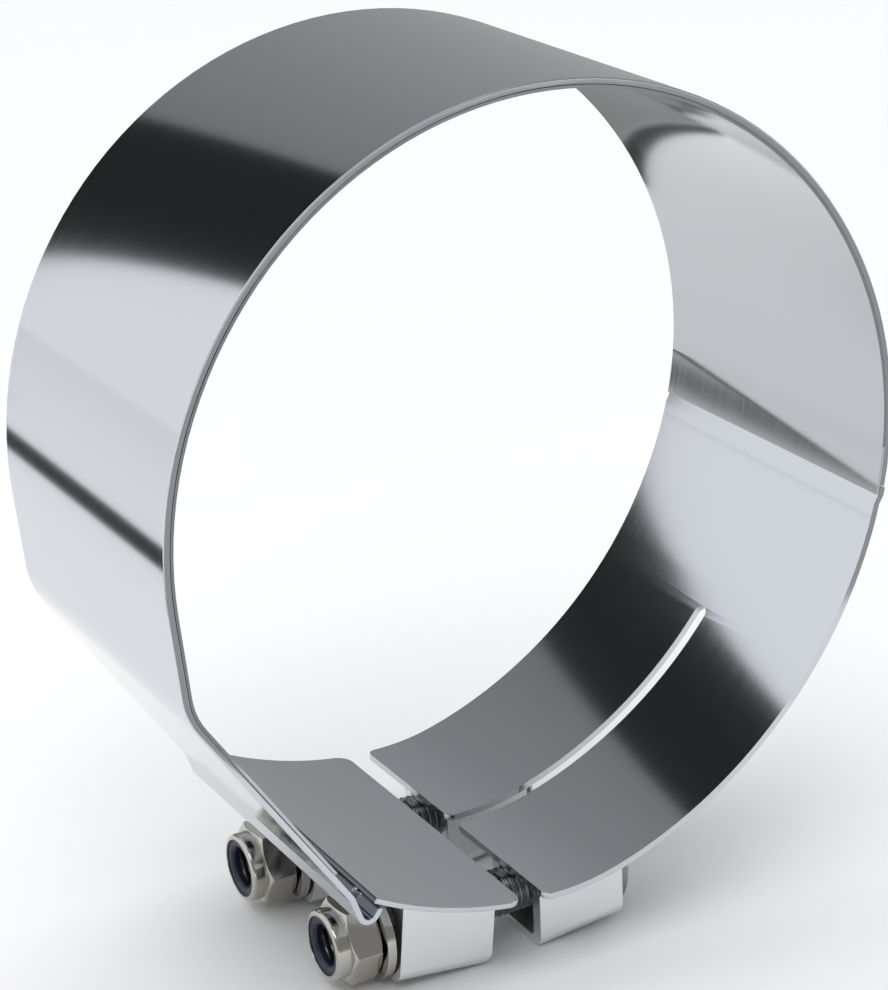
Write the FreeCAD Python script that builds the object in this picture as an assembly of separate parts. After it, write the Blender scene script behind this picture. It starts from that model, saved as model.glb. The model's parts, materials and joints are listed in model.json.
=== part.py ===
import FreeCAD, Part
import math
import os

os.makedirs("parts", exist_ok=True)

# Frame: origin on the bore axis at mid width, +Y along the bore, +X from the nuts to the bolt heads, +Z up

# Bore and sheet
BORE_R = 63.5
BAND_W = 63.5
SHEET_T = 1.1
LINER_T = 0.5

# Left end of the band: two flats tangent to the bore, then the hook
FLAT_A_DEG = 184.5
FLAT_B_DEG = 213.5
KINK_R = 12.0
HOOK_SETBACK = 3.4
LINER_SHORT = 5.4
HOOK_DROP_DEG = 15.0
HOOK_DROP_R = 4.0
HOOK_DROP_L = 3.6
HOOK_IN_R = 1.0
HOOK_TURN_DEG = 124.0
HOOK_LIP_L = 1.6
HOOK_TIP_R = 0.5

# Seam between the band and the tongue strap
SEAM_DEG = -11.5
SEAM_GAP = 0.06
LINER_LAP = 1.3
LAP_CLEAR = 0.05
JOGGLE_L = 1.6

# Tongue strap: it leaves the bore circle in a wide arc and ends in a tighter one
FLARE_DEG = -20.0
FLARE_SHIFT = 10.3
FLARE_TURN_DEG = 54.4
TIP_R = 40.3
SLOT_W = 3.0
SLOT_END_DEG = -42.3
TONGUE_CORNER_R = 1.6
TONGUE_OVERHANG = 3.2

# Bridge plate, below the bore circle and clear of the flange, and the keeper bar under its left edge
PLATE_DROP = 5.6
PLATE_INSET = 1.93
PLATE_RIGHT_DEG = -96.3
PLATE_CORNER_R = 2.6
PLATE_OVERHANG = 2.2
KEEPER_T = 1.0
KEEPER_L = 3.0
KEEPER_INSET = 7.0
KEEPER_CLEAR = 0.03

# Fasteners
BOLT_R = 4.0
BOLT_L = 50.0
BOLT_CLEAR = 1.4
BOLT_INSET = 2.7
BOLT_POINT = 1.0
BOLT_Y = BAND_W / 4
HEAD_R = 7.2
HEAD_H = 4.2
HEAD_RIM_H = 1.4
NUT_AF = 13.0
NUT_H = 8.0
HEX_H = 5.6
HEX_FACE_INSET = 0.2
BORE_BEVEL = 0.5
COLLAR_R = 6.0
COLLAR_BEVEL = 0.7
INSERT_R = 5.3
INSERT_T = 1.6
INSERT_BORE_R = 3.5
RIM_T = 0.3
RIM_LIP = 0.25
WASHER_R = 8.0
WASHER_T = 1.6
RUN_CLEAR = 0.06
FACE_CLEAR = 0.1

# Channels that the fasteners pull on
CHANNEL_W = 16.0
CHANNEL_WALL = 2.5
CHANNEL_FLOOR = 1.6
CHANNEL_BEND_R = 2.2
CHANNEL_INNER_R = 1.0
CHANNEL_BLANK_H = 25.0
CHANNEL_CORNER_R = 2.6
CHANNEL_TILT_DEG = 6.0
FLOOR_CLEAR = 1.0
BRIDGE_CHANNEL_L = 17.2
END_CHANNEL_L = 16.2


def polar(radius, degrees):
    angle = math.radians(degrees)
    return FreeCAD.Vector(radius * math.cos(angle), 0, radius * math.sin(angle))


X_AXIS = FreeCAD.Vector(1, 0, 0)
Y_AXIS = FreeCAD.Vector(0, 1, 0)
BAND_R = BORE_R + LINER_T
OUTER_R = BAND_R + SHEET_T
STRAP_R = BORE_R + SHEET_T
HALF_W = BAND_W / 2

# Plate, and the flange that ends in the hook under the plate's left edge
PLATE_R = BORE_R + PLATE_DROP
PLATE_TURN = math.acos((BORE_R - PLATE_INSET) / PLATE_R)
PLATE_LEFT_DEG = FLAT_B_DEG - 360 + math.degrees(PLATE_TURN)
KINK_REACH = math.tan(math.radians(FLAT_B_DEG - FLAT_A_DEG) / 2)
FLANGE_L = (BORE_R - KINK_R) * KINK_REACH + PLATE_R * math.sin(PLATE_TURN) - HOOK_SETBACK
LINER_END = FLANGE_L - LINER_SHORT

# Stack on the bolt, from the bridge channel out to the nut, then back along the bolt to its seat
BRIDGE_RIGHT_X = polar(PLATE_R, PLATE_RIGHT_DEG).x - PLATE_OVERHANG
BRIDGE_LEFT_X = BRIDGE_RIGHT_X - BRIDGE_CHANNEL_L
WASHER_X = BRIDGE_LEFT_X - FACE_CLEAR
NUT_X = WASHER_X - WASHER_T - FACE_CLEAR
BOLT_TIP_X = NUT_X - NUT_H + BOLT_INSET
SEAT_X = BOLT_TIP_X + BOLT_L
END_LEFT_X = SEAT_X - END_CHANNEL_L

# Tongues end beside the end channels, and the bolts pass under the plate and the tongues
FLARE_R = BORE_R + FLARE_SHIFT
FLARE_END_DEG = FLARE_DEG - FLARE_TURN_DEG
TIP_CENTRE = polar(-FLARE_SHIFT, FLARE_DEG) + polar(FLARE_R - TIP_R, FLARE_END_DEG)
TONGUE_X = END_LEFT_X - TONGUE_OVERHANG
TIP_END_DEG = -math.degrees(math.acos((TONGUE_X - TIP_CENTRE.x) / TIP_R))
BOLT_Z = -(max(PLATE_R, TIP_R - TIP_CENTRE.z) + SHEET_T + BOLT_CLEAR + BOLT_R)
FLOOR_Z = BOLT_Z - BOLT_R - FLOOR_CLEAR - CHANNEL_FLOOR


def arc(radius, start, end, centre=FreeCAD.Vector()):
    middle = (start + end) / 2
    points = [centre + polar(radius, degrees) for degrees in (start, middle, end)]
    return Part.Arc(*points).toShape()


def line(start, end):
    return Part.makeLine(start, end)


def degrees_along(length):
    return math.degrees(length / BORE_R)


def extrude(edges, half_w=HALF_W):
    face = Part.Face(Part.Wire(Part.__sortEdges__(edges)))
    face.translate(-half_w * Y_AXIS)
    return face.extrude(2 * half_w * Y_AXIS)


def walk(point, heading, moves, side):
    # side is the distance to the right of the path
    edges = []
    for kind, size, degrees in moves:
        right = polar(side, heading - 90)
        if kind == "line":
            step = polar(size, heading)
            edges.append(line(point + right, point + step + right))
            point = point + step
            continue
        sense = math.copysign(1, degrees)
        centre = point + polar(size, heading + 90 * sense)
        start = heading - 90 * sense
        edges.append(arc(size + side * sense, start, start + degrees, centre))
        point = centre + polar(size, start + degrees)
        heading = heading + degrees
    return edges, point, heading


def sheet(point, heading, moves, near, far, half_w=HALF_W):
    near_side = walk(point, heading, moves, near)[0]
    far_side = walk(point, heading, moves, far)[0]
    caps = [line(near_side[0].firstVertex().Point, far_side[0].firstVertex().Point)]
    caps.append(line(near_side[-1].lastVertex().Point, far_side[-1].lastVertex().Point))
    return extrude(near_side + far_side + caps, half_w)


def left_end(flange_length):
    moves = [("turn", BORE_R, FLAT_A_DEG - SEAM_DEG)]
    moves.append(("line", (BORE_R - KINK_R) * KINK_REACH, 0))
    moves.append(("turn", KINK_R, FLAT_B_DEG - FLAT_A_DEG))
    moves.append(("line", flange_length, 0))
    return moves


def hook_path():
    moves = left_end(FLANGE_L)
    moves.append(("turn", HOOK_DROP_R, -HOOK_DROP_DEG))
    moves.append(("line", HOOK_DROP_L, 0))
    moves.append(("turn", HOOK_IN_R - LINER_T, HOOK_TURN_DEG))
    return moves


# Outer band, from the seam over the top to the hook
def make_band():
    moves = hook_path() + [("line", HOOK_LIP_L, 0)]
    start = polar(BORE_R, SEAM_DEG)
    band = sheet(start, SEAM_DEG + 90, moves, LINER_T, LINER_T + SHEET_T)
    _, end, heading = walk(start, SEAM_DEG + 90, moves, 0)
    tip = end + polar(LINER_T + SHEET_T / 2, heading - 90)
    edges = [e for e in band.Edges if e.CenterOfMass.distanceToPoint(tip) < SHEET_T]
    return band.makeFillet(HOOK_TIP_R, [e for e in edges if e.Length > SHEET_T * 2])


# Inner liner, lapping past the seam by a short lip
def make_liner():
    liner = sheet(polar(BORE_R, SEAM_DEG), SEAM_DEG + 90, left_end(LINER_END), 0, LINER_T)
    lap = SEAM_DEG - degrees_along(LINER_LAP)
    outer = BAND_R - LAP_CLEAR
    edges = [arc(BORE_R, lap, SEAM_DEG), arc(outer, lap, SEAM_DEG)]
    edges.append(line(polar(BORE_R, SEAM_DEG), polar(outer, SEAM_DEG)))
    edges.append(line(polar(BORE_R, lap), polar(outer, lap)))
    return liner.fuse(extrude(edges)).removeSplitter()


def strap_path():
    foot = SEAM_DEG - degrees_along(LINER_LAP + LAP_CLEAR + JOGGLE_L)
    moves = [("turn", BORE_R, FLARE_DEG - foot)]
    moves.append(("turn", FLARE_R, -FLARE_TURN_DEG))
    moves.append(("turn", TIP_R, TIP_END_DEG - FLARE_END_DEG))
    return polar(BORE_R, foot), foot - 90, moves


# Tongue strap: one sheet, joggled under the liner's lip and split by the central slot into two tongues
def make_strap():
    start, heading, moves = strap_path()
    body = sheet(start, heading, moves, 0, -SHEET_T)
    top = SEAM_DEG - degrees_along(SEAM_GAP)
    knee = SEAM_DEG - degrees_along(LINER_LAP + LAP_CLEAR)
    edges = [arc(BAND_R, top, knee), arc(OUTER_R, top, knee), line(polar(BAND_R, top), polar(OUTER_R, top))]
    edges.append(line(polar(BAND_R, knee), start))
    edges.append(line(polar(OUTER_R, knee), polar(STRAP_R, heading + 90)))
    edges.append(line(start, polar(STRAP_R, heading + 90)))
    strap = body.fuse(extrude(edges)).removeSplitter()
    slot = Part.makeBox(2 * BORE_R, SLOT_W, 2 * BORE_R, FreeCAD.Vector(0, -SLOT_W / 2, -2 * BORE_R))
    slot.rotate(FreeCAD.Vector(), Y_AXIS, -SLOT_END_DEG)
    axis = polar(1, SLOT_END_DEG)
    round_end = Part.makeCylinder(SLOT_W / 2, 6 * SHEET_T, axis * (BORE_R - SHEET_T), axis)
    strap = strap.cut(slot).cut(round_end)
    return strap.makeFillet(TONGUE_CORNER_R, end_corners(strap, TONGUE_X))


def end_corners(shape, x):
    short = [e for e in shape.Edges if abs(e.Length - SHEET_T) < 0.05 and e.BoundBox.YLength < 0.01]
    return [e for e in short if abs(e.CenterOfMass.x - x) < SHEET_T]


# Bridge plate over the gap
def make_plate():
    outer = PLATE_R + SHEET_T
    edges = [arc(PLATE_R, PLATE_LEFT_DEG, PLATE_RIGHT_DEG), arc(outer, PLATE_LEFT_DEG, PLATE_RIGHT_DEG)]
    for degrees in (PLATE_LEFT_DEG, PLATE_RIGHT_DEG):
        edges.append(line(polar(PLATE_R, degrees), polar(outer, degrees)))
    plate = extrude(edges)
    return plate.makeFillet(PLATE_CORNER_R, end_corners(plate, polar(PLATE_R, PLATE_RIGHT_DEG).x))


def inside_plate():
    return Part.makeCylinder(PLATE_R + SHEET_T, 2 * BAND_W, -BAND_W * Y_AXIS, Y_AXIS)


def inside_strap():
    start, heading, moves = strap_path()
    edges = walk(start, heading, moves, -SHEET_T)[0]
    edges.append(line(edges[0].firstVertex().Point, FreeCAD.Vector()))
    edges.append(line(edges[2].lastVertex().Point, FreeCAD.Vector()))
    return extrude(edges)


# Keeper bar under the plate's left edge, standing in the hook behind its lip
def make_keeper():
    _, point, heading = walk(polar(BORE_R, SEAM_DEG), SEAM_DEG + 90, hook_path(), 0)
    near = LINER_T - KEEPER_CLEAR
    bar = sheet(point, heading, [("line", KEEPER_L, 0)], near, near - KEEPER_T, HALF_W - KEEPER_INSET)
    return bar.cut(inside_plate())


# U channel of plain bar, open at both ends
def channel_bar(x_low, x_high):
    outer = rounded_bar(x_low, x_high, CHANNEL_W, FLOOR_Z, CHANNEL_BEND_R)
    inner_w = CHANNEL_W - 2 * CHANNEL_WALL
    return outer.cut(rounded_bar(x_low, x_high, inner_w, FLOOR_Z + CHANNEL_FLOOR, CHANNEL_INNER_R))


def rounded_bar(x_low, x_high, width, z, radius):
    bar = Part.makeBox(x_high - x_low, width, CHANNEL_BLANK_H, FreeCAD.Vector(x_low, -width / 2, z))
    low = [e for e in bar.Edges if e.BoundBox.XLength > 1 and abs(e.CenterOfMass.z - z) < 0.01]
    return bar.makeFillet(radius, low)


# Channel under the bridge plate: tilted, so the washer bears on the foot of its end
def make_bridge_channel():
    bar = channel_bar(BRIDGE_LEFT_X, BRIDGE_RIGHT_X).cut(corner_cutter(BRIDGE_RIGHT_X, FLOOR_Z))
    bar.rotate(FreeCAD.Vector(BRIDGE_LEFT_X, 0, FLOOR_Z), Y_AXIS, CHANNEL_TILT_DEG)
    return bar.cut(inside_plate())


# Channel under the tongue: its floor tilted the other way, its ends square to the bolt
def make_end_channel():
    bar = channel_bar(END_LEFT_X - CHANNEL_WALL, SEAT_X + CHANNEL_WALL)
    bar.rotate(FreeCAD.Vector(SEAT_X, 0, FLOOR_Z), Y_AXIS, -CHANNEL_TILT_DEG)
    corner = FreeCAD.Vector(END_LEFT_X, -CHANNEL_W, FLOOR_Z - CHANNEL_BLANK_H)
    between = Part.makeBox(END_CHANNEL_L, 2 * CHANNEL_W, 2 * CHANNEL_BLANK_H, corner)
    return bar.common(between).cut(inside_strap())


def corner_cutter(x, z):
    radius = CHANNEL_CORNER_R
    start = FreeCAD.Vector(x - radius, -CHANNEL_W / 2, z)
    block = Part.makeBox(radius, CHANNEL_W, radius, start)
    return block.cut(Part.makeCylinder(radius, CHANNEL_W, start + FreeCAD.Vector(0, 0, radius), Y_AXIS))


def turned(points):
    # points are (distance along X, radius) of a closed profile
    outline = [FreeCAD.Vector(x, 0, radius) for x, radius in points]
    face = Part.Face(Part.makePolygon(outline + outline[:1]))
    return face.revolve(FreeCAD.Vector(), X_AXIS, 360)


# Dome-headed bolt, its head against the end channel
def make_bolt():
    point = [(BOLT_TIP_X + BOLT_POINT, BOLT_R), (BOLT_TIP_X, BOLT_R - BOLT_POINT), (BOLT_TIP_X, 0)]
    shank = turned([(SEAT_X, 0), (SEAT_X, BOLT_R)] + point)
    cap_h = HEAD_H - HEAD_RIM_H
    rim = Part.makeCylinder(HEAD_R, HEAD_RIM_H, SEAT_X * X_AXIS, X_AXIS)
    ball_r = (HEAD_R ** 2 + cap_h ** 2) / (2 * cap_h)
    ball = Part.makeSphere(ball_r, (SEAT_X + HEAD_H - ball_r) * X_AXIS)
    top = Part.makeCylinder(HEAD_R, cap_h, (SEAT_X + HEAD_RIM_H) * X_AXIS, X_AXIS)
    return shank.fuse([rim, ball.common(top)]).removeSplitter()


# Lock nut: chamfered hexagon, round collar with its rim turned in over the insert
def make_nut():
    corner_r = NUT_AF / 2 / math.cos(math.radians(30))
    ring = [NUT_X * X_AXIS + hex_corner(corner_r, i) for i in range(6)]
    prism = Part.Face(Part.makePolygon(ring + ring[:1])).extrude(-HEX_H * X_AXIS)
    flat_r = NUT_AF / 2 - HEX_FACE_INSET
    bevel = (corner_r - flat_r) * math.tan(math.radians(30))
    back = NUT_X - HEX_H
    cone = turned([(NUT_X, 0), (NUT_X, flat_r), (NUT_X - bevel, corner_r), (back + bevel, corner_r),
                   (back, flat_r), (back, 0)])
    end = NUT_X - NUT_H
    step = COLLAR_BEVEL * (1 - math.cos(math.radians(45)))
    collar = turned([(NUT_X, 0), (NUT_X, COLLAR_R), (end + COLLAR_BEVEL, COLLAR_R),
                     (end + step, COLLAR_R - step), (end, COLLAR_R - COLLAR_BEVEL), (end, 0)])
    seat = end + RIM_T + INSERT_T
    mouth_r = INSERT_R - RIM_LIP
    bore_r = BOLT_R + RUN_CLEAR
    groove = [(seat, bore_r), (seat, INSERT_R), (end + RIM_T, INSERT_R), (end + RIM_T, mouth_r)]
    bore = [(NUT_X, 0), (NUT_X, bore_r + BORE_BEVEL), (NUT_X - BORE_BEVEL, bore_r)]
    hole = turned(bore + groove + [(end, mouth_r), (end, 0)])
    return prism.common(cone).fuse(collar).cut(hole).removeSplitter()


def hex_corner(radius, index):
    angle = math.radians(60 * index)
    return FreeCAD.Vector(0, radius * math.cos(angle), radius * math.sin(angle))


# Nylon locking ring inside the collar
def make_insert():
    start = NUT_X - NUT_H + RIM_T
    stop = start + INSERT_T
    return turned([(start, INSERT_BORE_R + BORE_BEVEL), (start + BORE_BEVEL, INSERT_BORE_R),
                   (stop, INSERT_BORE_R), (stop, INSERT_R), (start, INSERT_R)])


def make_washer():
    bore_r = BOLT_R + RUN_CLEAR
    left = WASHER_X - WASHER_T
    return turned([(left, bore_r), (left, WASHER_R), (WASHER_X, WASHER_R), (WASHER_X, bore_r)])


def export(shape, name):
    shape.exportStep("parts/" + name + ".step")


def main():
    export(make_band(), "outer_band")
    export(make_liner(), "inner_liner")
    export(make_strap(), "tongue_strap")
    export(make_plate(), "bridge_plate")
    export(make_keeper(), "keeper_bar")
    channels = {"bridge_channel": make_bridge_channel(), "end_channel": make_end_channel()}
    on_axis = {"clamp_bolt": make_bolt(), "flat_washer": make_washer(), "lock_nut": make_nut(),
               "nylon_insert": make_insert()}
    for side, y in (("front", -BOLT_Y), ("back", BOLT_Y)):
        for name, shape in channels.items():
            export(shape.translated(FreeCAD.Vector(0, y, 0)), name + "_" + side)
        for name, shape in on_axis.items():
            export(shape.translated(FreeCAD.Vector(0, y, BOLT_Z)), name + "_" + side)


main()
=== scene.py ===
import json
import math

import bmesh
import bpy
from mathutils import Matrix, Vector

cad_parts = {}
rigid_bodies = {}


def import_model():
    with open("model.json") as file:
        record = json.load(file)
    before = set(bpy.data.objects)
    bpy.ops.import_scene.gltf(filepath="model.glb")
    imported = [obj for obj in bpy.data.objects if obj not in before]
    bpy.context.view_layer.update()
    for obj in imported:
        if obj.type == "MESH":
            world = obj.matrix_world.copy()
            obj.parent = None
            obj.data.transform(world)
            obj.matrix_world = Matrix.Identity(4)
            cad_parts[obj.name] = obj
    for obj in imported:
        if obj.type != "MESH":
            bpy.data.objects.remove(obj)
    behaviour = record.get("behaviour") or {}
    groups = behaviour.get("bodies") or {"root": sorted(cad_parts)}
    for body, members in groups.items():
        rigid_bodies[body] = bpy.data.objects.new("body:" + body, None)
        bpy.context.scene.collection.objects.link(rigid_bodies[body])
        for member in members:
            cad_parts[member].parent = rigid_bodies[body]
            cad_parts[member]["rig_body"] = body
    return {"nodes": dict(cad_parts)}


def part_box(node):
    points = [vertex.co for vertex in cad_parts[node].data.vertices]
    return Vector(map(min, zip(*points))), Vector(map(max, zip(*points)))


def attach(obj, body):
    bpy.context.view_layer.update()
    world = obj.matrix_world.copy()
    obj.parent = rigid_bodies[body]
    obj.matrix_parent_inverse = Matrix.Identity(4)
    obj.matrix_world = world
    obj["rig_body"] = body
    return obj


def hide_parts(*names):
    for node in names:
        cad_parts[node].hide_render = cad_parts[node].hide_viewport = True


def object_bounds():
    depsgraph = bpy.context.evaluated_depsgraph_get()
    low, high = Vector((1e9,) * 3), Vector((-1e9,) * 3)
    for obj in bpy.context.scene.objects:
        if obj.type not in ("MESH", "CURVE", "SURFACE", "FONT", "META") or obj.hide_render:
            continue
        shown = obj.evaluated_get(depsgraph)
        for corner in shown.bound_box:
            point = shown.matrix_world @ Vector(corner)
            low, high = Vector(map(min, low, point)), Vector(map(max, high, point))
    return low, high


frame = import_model()
cad_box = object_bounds()

MM = 0.001
SIDES = ("front", "back")

# Camera, fitted to the rims of the band and the joint's corners
CAMERA_PLACE = Vector((-0.2147, -0.4049, 0.1673))
CAMERA_HEADING_DEG = 27.72
CAMERA_PITCH_DEG = -21.15
CAMERA_ROLL_DEG = -2.78
CAMERA_LENS_MM = 121.0
SENSOR_MM = 36.0
NEAR_CLIP = 0.01

# Rounded edges. Corners sharper than SHARP_DEG are rounded, and faces flatter than SAME_PLANE_DEG joined
SHEET_BEVEL = 0.3 * MM
LINER_BEVEL = 0.08 * MM
BAR_BEVEL = 0.22 * MM
NUT_BEVEL = 0.12 * MM
BEVEL_SEGMENTS = 2
SHARP_DEG = 32
SAME_PLANE_DEG = 0.6
SAME_POINT = 0.001 * MM

# Bolts: a thread with flattened crests and roots, a bevelled tip and a domed head on a straight rim
SHANK_R = 4.0 * MM
THREAD_PITCH = 1.25 * MM
THREAD_DEPTH = 0.62 * MM
THREAD_SLOPE = 1.25
THREAD_ROOT = 0.12
THREAD_STEPS = 24
THREAD_SHARP_DEG = 38
TIP_BEVEL = 1.0 * MM
TURN_STEPS = 48
HEAD_RIM_SHARE = 1 / 3
DOME_STEPS = 14

# Finishes. Each plain metal has a colour and a roughness
SHEET_COLOUR = (0.61, 0.63, 0.665)
LINER_COLOUR = (0.50, 0.515, 0.53)
SATIN = ((0.84, 0.85, 0.85), 0.34)
WARM_PLATING = ((0.53, 0.515, 0.475), 0.12)
BOLT_PLATING = ((0.26, 0.26, 0.26), 0.2)
SHEET_ROUGHNESS = 0.1
NYLON_COLOUR = (0.005, 0.009, 0.028)
NYLON_ROUGHNESS = 0.4

# Grain of the polished sheet, stretched round the band, and speckle of the other finishes
GRAIN_ALONG = 3.0
GRAIN_ACROSS = 2600
GRAIN_RANGE = (0.07, 0.11)
GRAIN_STRENGTH = 0.02
SPECKLE_SCALE = 900
SPECKLE_SPREAD = (-0.05, 0.07)
SPECKLE_STRENGTH = 0.06
NYLON_SPECKLE_SCALE = 1500
NYLON_RANGE = (0.34, 0.5)
RELIEF = 0.02 * MM

# Liner beside the seam, in its shading normal only: it faces as if flat from one angle on, and as if
# turned down to another below a slanting line
FLAT_DEG = -5.3
LIP_DEG = -7.7
LIP_START_DEG = -7.9
LIP_SLANT_DEG = 90
LIP_SOFT_DEG = 1.1

# Floor, and studio air as brightness: white behind the clamp, grey in front of it, bright overhead
FLOOR_SIZE = 12
FLOOR_COLOUR = (0.9, 0.9, 0.9)
FLOOR_ROUGHNESS = 0.9
STUDIO_WHITE = (0.975, 0.985, 1, 1)
BACK_AIR = 1.05
FRONT_AIR = 0.3
OVERHEAD_AIR = 1.6
FRONT_TO_BACK_Y = (-0.25, 0.1)
OVERHEAD_DEG = (48, 56)

# Soft light above the camera's left shoulder
LAMP_PLACE = Vector((-0.5, -0.6, 1.0))
LAMP_SIZE = 0.7
LAMP_WATTS = 3.2

# Cards behind the clamp, which the polished sheet mirrors. The black one leans out to the right as it
# rises, and the grey one stands behind it and is brighter towards the right
CARD_Y = 0.42
CARD_GAP = 0.004
CARD_TOP = 0.75
CARD_LEFT = -0.227
BLACK_RIGHT_AT_FOOT = -0.225
BLACK_RIGHT_AT_TOP = 0.165
GREY_RIGHT = 0.600
GREY_RISE_X = (-0.060, 0.600)
BLACK_GLOW = 0.02
GREY_GLOW = (0.25, 0.50)

# Cards on the floor: a dark strip on the left, a thin dark line and a grey card behind, and a grey card
# in front
STRIP_X = (-0.190, -0.158)
STRIP_Y = (0.08, 0.62)
FRONT_FLOOR_X = (-0.150, 0.600)
FRONT_FLOOR_Y = (-0.600, -0.130)
FRONT_FLOOR_GLOW = 0.42
FAR_FLOOR_X = (0.030, 0.600)
FAR_FLOOR_Y = (0.205, 0.420)
FAR_FLOOR_GLOW = 0.33
LINE_X = (0.030, 0.200)
LINE_Y = (0.190, 0.203)
CARD_LIFT = 0.0005


# Sets sockets to numbers, or links them to the outputs of other nodes
def feed(tree, sockets, values):
    for socket, value in zip(sockets, values):
        if isinstance(value, (int, float)):
            socket.default_value = value
        else:
            tree.links.new(value, socket)


def math_node(tree, operation, first, second=0):
    node = tree.nodes.new("ShaderNodeMath")
    node.operation = operation
    feed(tree, node.inputs, (first, second))
    return node.outputs[0]


def vector_of(tree, x, y, z):
    node = tree.nodes.new("ShaderNodeCombineXYZ")
    feed(tree, node.inputs, (x, y, z))
    return node.outputs[0]


def mixed(tree, factor, first, second):
    node = tree.nodes.new("ShaderNodeMix")
    feed(tree, (node.inputs["Factor"], node.inputs["A"], node.inputs["B"]), (factor, first, second))
    return node.outputs["Result"]


# The vector sockets of a Mix node are its inputs 4 and 5 and its output 1
def mixed_vectors(tree, factor, first, second):
    node = tree.nodes.new("ShaderNodeMix")
    node.data_type = "VECTOR"
    feed(tree, (node.inputs[0], node.inputs[4], node.inputs[5]), (factor, first, second))
    return node.outputs[1]


def ranged(tree, value, low, high, start=0, end=1):
    node = tree.nodes.new("ShaderNodeMapRange")
    node.inputs["From Min"].default_value = start
    node.inputs["From Max"].default_value = end
    node.inputs["To Min"].default_value = low
    node.inputs["To Max"].default_value = high
    tree.links.new(value, node.inputs["Value"])
    return node.outputs["Result"]


def step_up(tree, value, start, end):
    node = tree.nodes.new("ShaderNodeMapRange")
    node.interpolation_type = "SMOOTHSTEP"
    node.inputs["From Min"].default_value = start
    node.inputs["From Max"].default_value = end
    tree.links.new(value, node.inputs["Value"])
    return node.outputs["Result"]


def place_in(tree, space):
    return tree.nodes.new("ShaderNodeTexCoord").outputs[space]


def split(tree, vector):
    node = tree.nodes.new("ShaderNodeSeparateXYZ")
    tree.links.new(vector, node.inputs[0])
    return node.outputs


def noise_node(tree, vector, scale, detail):
    noise = tree.nodes.new("ShaderNodeTexNoise")
    noise.inputs["Scale"].default_value = scale
    noise.inputs["Detail"].default_value = detail
    tree.links.new(vector, noise.inputs["Vector"])
    return noise.outputs["Fac"]


def bump(tree, shader, height, strength):
    node = tree.nodes.new("ShaderNodeBump")
    node.inputs["Strength"].default_value = strength
    node.inputs["Distance"].default_value = RELIEF
    tree.links.new(height, node.inputs["Height"])
    tree.links.new(node.outputs["Normal"], shader.inputs["Normal"])
    return node


def principled(name, colour, metallic, roughness):
    material = bpy.data.materials.new(name)
    material.use_nodes = True
    shader = material.node_tree.nodes["Principled BSDF"]
    shader.inputs["Base Color"].default_value = (*colour, 1)
    shader.inputs["Metallic"].default_value = metallic
    shader.inputs["Roughness"].default_value = roughness
    return material, material.node_tree, shader


# Normal of the liner, with the flat and the turned-down lip beside the seam
def lip_normal(tree, place, angle):
    flat = math_node(tree, "MAXIMUM", angle, math.radians(FLAT_DEG))
    slant = math_node(tree, "MULTIPLY", place["Y"], math.radians(LIP_SLANT_DEG))
    start = math_node(tree, "ADD", slant, math.radians(LIP_START_DEG))
    soft = math.radians(LIP_SOFT_DEG)
    inside = step_up(tree, math_node(tree, "SUBTRACT", start, angle), -soft, soft)
    facing = mixed(tree, inside, flat, math.radians(LIP_DEG))
    inward_x = math_node(tree, "MULTIPLY", math_node(tree, "COSINE", facing), -1)
    inward_z = math_node(tree, "MULTIPLY", math_node(tree, "SINE", facing), -1)
    turn = tree.nodes.new("ShaderNodeVectorTransform")
    turn.vector_type = "NORMAL"
    turn.convert_from = "OBJECT"
    turn.convert_to = "WORLD"
    tree.links.new(vector_of(tree, inward_x, 0, inward_z), turn.inputs[0])
    below_flat = math_node(tree, "LESS_THAN", angle, math.radians(FLAT_DEG))
    on_right = math_node(tree, "GREATER_THAN", place["X"], 0)
    beside_seam = math_node(tree, "MULTIPLY", below_flat, on_right)
    round_normal = tree.nodes.new("ShaderNodeNewGeometry").outputs["Normal"]
    return mixed_vectors(tree, beside_seam, round_normal, turn.outputs[0])


# Polished sheet with a fine grain running round the band
def polished_sheet(name, colour, lip=False):
    material, tree, shader = principled(name, colour, 1, SHEET_ROUGHNESS)
    place = split(tree, place_in(tree, "Object"))
    angle = math_node(tree, "ARCTAN2", place["Z"], place["X"])
    along = math_node(tree, "MULTIPLY", angle, GRAIN_ALONG)
    across = math_node(tree, "MULTIPLY", place["Y"], GRAIN_ACROSS)
    grain = noise_node(tree, vector_of(tree, along, across, 0), 1.0, 3)
    tree.links.new(ranged(tree, grain, *GRAIN_RANGE), shader.inputs["Roughness"])
    grain_bump = bump(tree, shader, grain, GRAIN_STRENGTH)
    if lip:
        tree.links.new(lip_normal(tree, place, angle), grain_bump.inputs["Normal"])
    return material


# Plain metal with a faint speckle in its roughness
def plain_metal(name, colour, roughness):
    material, tree, shader = principled(name, colour, 1, roughness)
    speckle = noise_node(tree, place_in(tree, "Object"), SPECKLE_SCALE, 4)
    low, high = (roughness + spread for spread in SPECKLE_SPREAD)
    tree.links.new(ranged(tree, speckle, low, high), shader.inputs["Roughness"])
    bump(tree, shader, speckle, SPECKLE_STRENGTH)
    return material


def nylon():
    material, tree, shader = principled("dark_blue_nylon", NYLON_COLOUR, 0, NYLON_ROUGHNESS)
    speckle = noise_node(tree, place_in(tree, "Object"), NYLON_SPECKLE_SCALE, 2)
    tree.links.new(ranged(tree, speckle, *NYLON_RANGE), shader.inputs["Roughness"])
    return material


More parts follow.
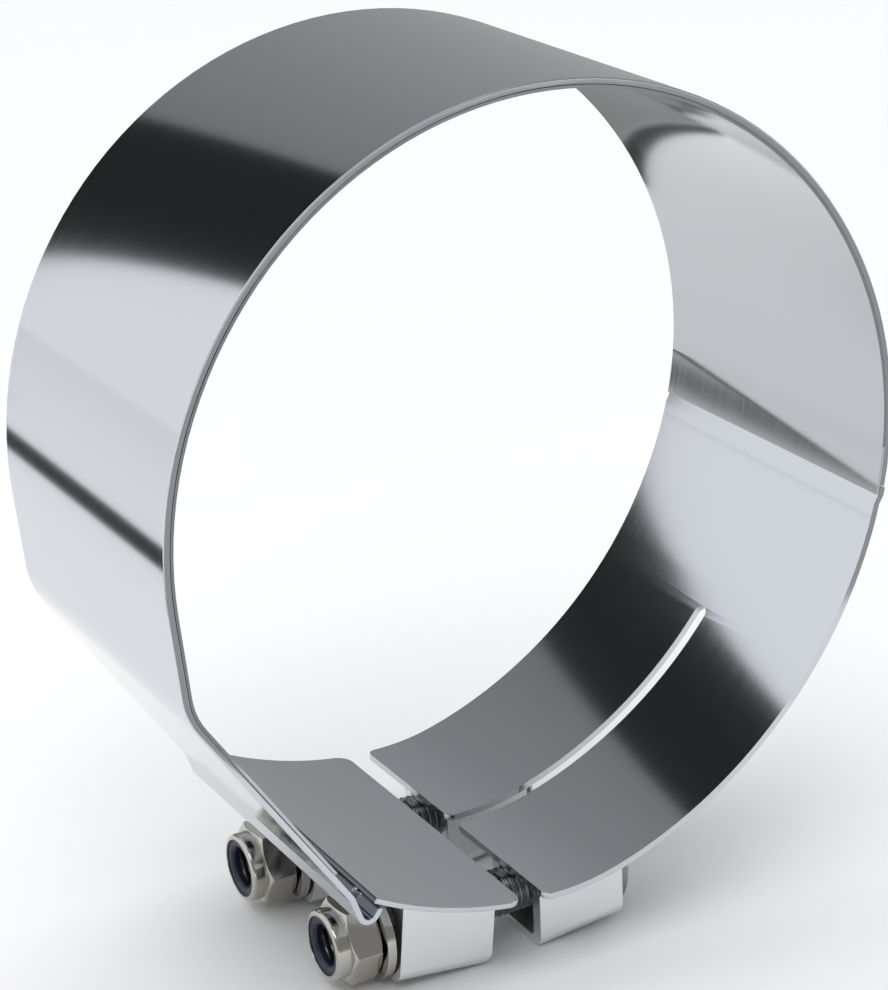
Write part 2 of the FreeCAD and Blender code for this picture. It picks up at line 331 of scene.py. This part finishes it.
# Rounds the sharp corners of a mesh, and shades the rest smooth
def round_edges(mesh, width):
    shape = bmesh.new()
    shape.from_mesh(mesh)
    bmesh.ops.remove_doubles(shape, verts=shape.verts, dist=SAME_POINT)
    bmesh.ops.dissolve_limit(shape, angle_limit=math.radians(SAME_PLANE_DEG), verts=shape.verts,
                             edges=shape.edges)
    sharp = math.radians(SHARP_DEG)
    corners = [e for e in shape.edges if len(e.link_faces) == 2 and e.calc_face_angle(0) > sharp]
    bmesh.ops.bevel(shape, geom=corners, offset=width, segments=BEVEL_SEGMENTS, profile=0.5,
                    affect="EDGES", clamp_overlap=True)
    for face in shape.faces:
        face.smooth = True
    for edge in shape.edges:
        edge.smooth = len(edge.link_faces) == 2 and edge.calc_face_angle(0) < sharp
    shape.to_mesh(mesh)
    shape.free()


def bevelled(node, width, material):
    source = frame["nodes"][node]
    mesh = source.data.copy()
    round_edges(mesh, width)
    mesh.materials.clear()
    mesh.materials.append(material)
    piece = bpy.data.objects.new(node + "_finished", mesh)
    bpy.context.scene.collection.objects.link(piece)
    weights = piece.modifiers.new("even_shading", "WEIGHTED_NORMAL")
    weights.keep_sharp = True
    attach(piece, source["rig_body"])
    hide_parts(node)


def ring_of_points(x, radius_at, centre):
    points = []
    for step in range(TURN_STEPS):
        turn = 2 * math.pi * step / TURN_STEPS
        radius = radius_at(x, turn)
        points.append((x, centre.y + radius * math.cos(turn), centre.z + radius * math.sin(turn)))
    return points


# Closed solid turned about X from a list of rings, capped at both ends
def turned(rings):
    points = [point for ring in rings for point in ring]
    faces = []
    for row in range(len(rings) - 1):
        for step in range(TURN_STEPS):
            a = row * TURN_STEPS + step
            b = row * TURN_STEPS + (step + 1) % TURN_STEPS
            faces.append((a, b, b + TURN_STEPS, a + TURN_STEPS))
    faces.append(tuple(reversed(range(TURN_STEPS))))
    faces.append(tuple(range(len(points) - TURN_STEPS, len(points))))
    return points, faces


def thread_rings(tip, seat, centre):
    root_r = SHANK_R - THREAD_DEPTH

    def radius_at(x, turn):
        phase = (x / THREAD_PITCH - turn / (2 * math.pi)) % 1
        rise = min(1, max(0, THREAD_SLOPE * (1 - abs(2 * phase - 1)) - THREAD_ROOT))
        past_tip = min(1, (x - tip) / TIP_BEVEL)
        return min(root_r + THREAD_DEPTH * rise, SHANK_R - (1 - past_tip) * TIP_BEVEL)

    rows = round((seat - tip) / THREAD_PITCH * THREAD_STEPS)
    return [ring_of_points(tip + (seat - tip) * row / rows, radius_at, centre) for row in range(rows + 1)]


def head_rings(seat, top, head_r, centre):
    rim_h = (top - seat) * HEAD_RIM_SHARE
    dome_h = top - seat - rim_h
    ball_r = (head_r ** 2 + dome_h ** 2) / (2 * dome_h)
    rings = [ring_of_points(seat, lambda x, turn: head_r, centre)]
    for step in range(DOME_STEPS):
        x = seat + rim_h + dome_h * math.sin(math.pi / 2 * step / DOME_STEPS)
        from_ball = x - (top - ball_r)
        radius = math.sqrt(ball_r ** 2 - from_ball ** 2)
        rings.append(ring_of_points(x, lambda x, turn, r=radius: r, centre))
    return rings


def threaded_bolt(side, material):
    node = "clamp_bolt_" + side
    low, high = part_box(node)
    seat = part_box("end_channel_" + side)[1].x
    centre = (low + high) / 2
    head_r = (high.y - low.y) / 2
    points, faces = turned(thread_rings(low.x, seat, centre) + head_rings(seat, high.x, head_r, centre))
    mesh = bpy.data.meshes.new(node + "_threaded")
    mesh.from_pydata(points, [], faces)
    for face in mesh.polygons:
        face.use_smooth = True
    mesh.validate()
    mesh.set_sharp_from_angle(angle=math.radians(THREAD_SHARP_DEG))
    mesh.materials.append(material)
    piece = bpy.data.objects.new(node + "_threaded", mesh)
    bpy.context.scene.collection.objects.link(piece)
    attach(piece, frame["nodes"][node]["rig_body"])
    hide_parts(node)


def make_clamp():
    sheet = polished_sheet("polished_sheet", SHEET_COLOUR)
    dull_sheet = polished_sheet("liner_sheet", LINER_COLOUR, lip=True)
    satin = plain_metal("satin_bar", *SATIN)
    plated = plain_metal("warm_plating", *WARM_PLATING)
    bolt = plain_metal("bolt_plating", *BOLT_PLATING)
    blue = nylon()
    for node in ("outer_band", "tongue_strap", "bridge_plate", "keeper_bar"):
        bevelled(node, SHEET_BEVEL, sheet)
    bevelled("inner_liner", LINER_BEVEL, dull_sheet)
    for side in SIDES:
        bevelled("bridge_channel_" + side, BAR_BEVEL, satin)
        bevelled("end_channel_" + side, BAR_BEVEL, satin)
        bevelled("flat_washer_" + side, NUT_BEVEL, plated)
        bevelled("lock_nut_" + side, NUT_BEVEL, plated)
        bevelled("nylon_insert_" + side, NUT_BEVEL, blue)
        threaded_bolt(side, bolt)


def make_floor():
    bpy.ops.mesh.primitive_plane_add(size=FLOOR_SIZE, location=(0, 0, cad_box[0][2]))
    floor = bpy.context.object
    floor.name = "floor"
    floor.data.materials.append(principled("floor_paint", FLOOR_COLOUR, 0, FLOOR_ROUGHNESS)[0])


def card_material(name, glow):
    material, tree, shader = principled(name, (0, 0, 0), 0, 1)
    shader.inputs["Specular IOR Level"].default_value = 0
    shader.inputs["Emission Color"].default_value = STUDIO_WHITE
    shader.inputs["Emission Strength"].default_value = glow
    return material, tree, shader


# Flat card that reflections show, and neither the view, the floor nor a shadow does
def add_card(name, corners, material):
    mesh = bpy.data.meshes.new(name)
    mesh.from_pydata(corners, [], [(0, 1, 2, 3)])
    mesh.materials.append(material)
    card = bpy.data.objects.new(name, mesh)
    card.visible_camera = False
    card.visible_diffuse = False
    card.visible_shadow = False
    bpy.context.scene.collection.objects.link(card)


def standing(right_at_foot, right_at_top, y, foot):
    at_foot = [(CARD_LEFT, y, foot), (right_at_foot, y, foot)]
    return at_foot + [(right_at_top, y, CARD_TOP), (CARD_LEFT, y, CARD_TOP)]


def lying(x_span, y_span, z):
    left, right = x_span
    near, far = y_span
    return [(left, near, z), (right, near, z), (right, far, z), (left, far, z)]


def make_dark_cards(foot):
    black = card_material("black_card", BLACK_GLOW)[0]
    add_card("black_card", standing(BLACK_RIGHT_AT_FOOT, BLACK_RIGHT_AT_TOP, CARD_Y, foot), black)
    add_card("dark_strip", lying(STRIP_X, STRIP_Y, foot), black)
    add_card("dark_line", lying(LINE_X, LINE_Y, foot + CARD_LIFT), black)


def make_grey_cards(foot):
    add_card("front_floor_card", lying(FRONT_FLOOR_X, FRONT_FLOOR_Y, foot),
             card_material("front_floor_card", FRONT_FLOOR_GLOW)[0])
    add_card("far_floor_card", lying(FAR_FLOOR_X, FAR_FLOOR_Y, foot),
             card_material("far_floor_card", FAR_FLOOR_GLOW)[0])
    grey, tree, shader = card_material("grey_card", GREY_GLOW[0])
    left, right = GREY_RISE_X
    glow = ranged(tree, split(tree, place_in(tree, "Object"))["X"], *GREY_GLOW, start=left, end=right)
    tree.links.new(glow, shader.inputs["Emission Strength"])
    add_card("grey_card", standing(GREY_RIGHT, GREY_RIGHT, CARD_Y + CARD_GAP, foot), grey)


def make_air():
    world = bpy.data.worlds.new("studio_air")
    world.use_nodes = True
    tree = world.node_tree
    direction = split(tree, place_in(tree, "Generated"))
    behind = step_up(tree, direction["Y"], *FRONT_TO_BACK_Y)
    above = step_up(tree, direction["Z"], *(math.sin(math.radians(degrees)) for degrees in OVERHEAD_DEG))
    air = mixed(tree, above, mixed(tree, behind, FRONT_AIR, BACK_AIR), OVERHEAD_AIR)
    tree.links.new(air, tree.nodes["Background"].inputs["Strength"])
    tree.nodes["Background"].inputs["Color"].default_value = STUDIO_WHITE
    bpy.context.scene.world = world


def make_soft_light():
    data = bpy.data.lights.new("soft_light", "AREA")
    data.size = LAMP_SIZE
    data.energy = LAMP_WATTS
    light = bpy.data.objects.new("soft_light", data)
    light.location = LAMP_PLACE
    light.rotation_euler = (-LAMP_PLACE).to_track_quat("-Z", "Y").to_euler()
    bpy.context.scene.collection.objects.link(light)


def make_studio():
    foot = cad_box[0][2] + CARD_LIFT
    make_floor()
    make_dark_cards(foot)
    make_grey_cards(foot)
    make_air()
    make_soft_light()
    bpy.context.scene.view_settings.view_transform = "Standard"


def make_camera():
    data = bpy.data.cameras.new("camera")
    data.sensor_fit = "HORIZONTAL"
    data.sensor_width = SENSOR_MM
    data.lens = CAMERA_LENS_MM
    data.clip_start = NEAR_CLIP
    camera = bpy.data.objects.new("camera", data)
    heading = Matrix.Rotation(-math.radians(CAMERA_HEADING_DEG), 4, "Z")
    pitch = Matrix.Rotation(math.radians(90 + CAMERA_PITCH_DEG), 4, "X")
    roll = Matrix.Rotation(math.radians(CAMERA_ROLL_DEG), 4, "Z")
    camera.matrix_world = Matrix.Translation(CAMERA_PLACE) @ heading @ pitch @ roll
    bpy.context.scene.collection.objects.link(camera)
    bpy.context.scene.camera = camera


make_clamp()
make_studio()
make_camera()
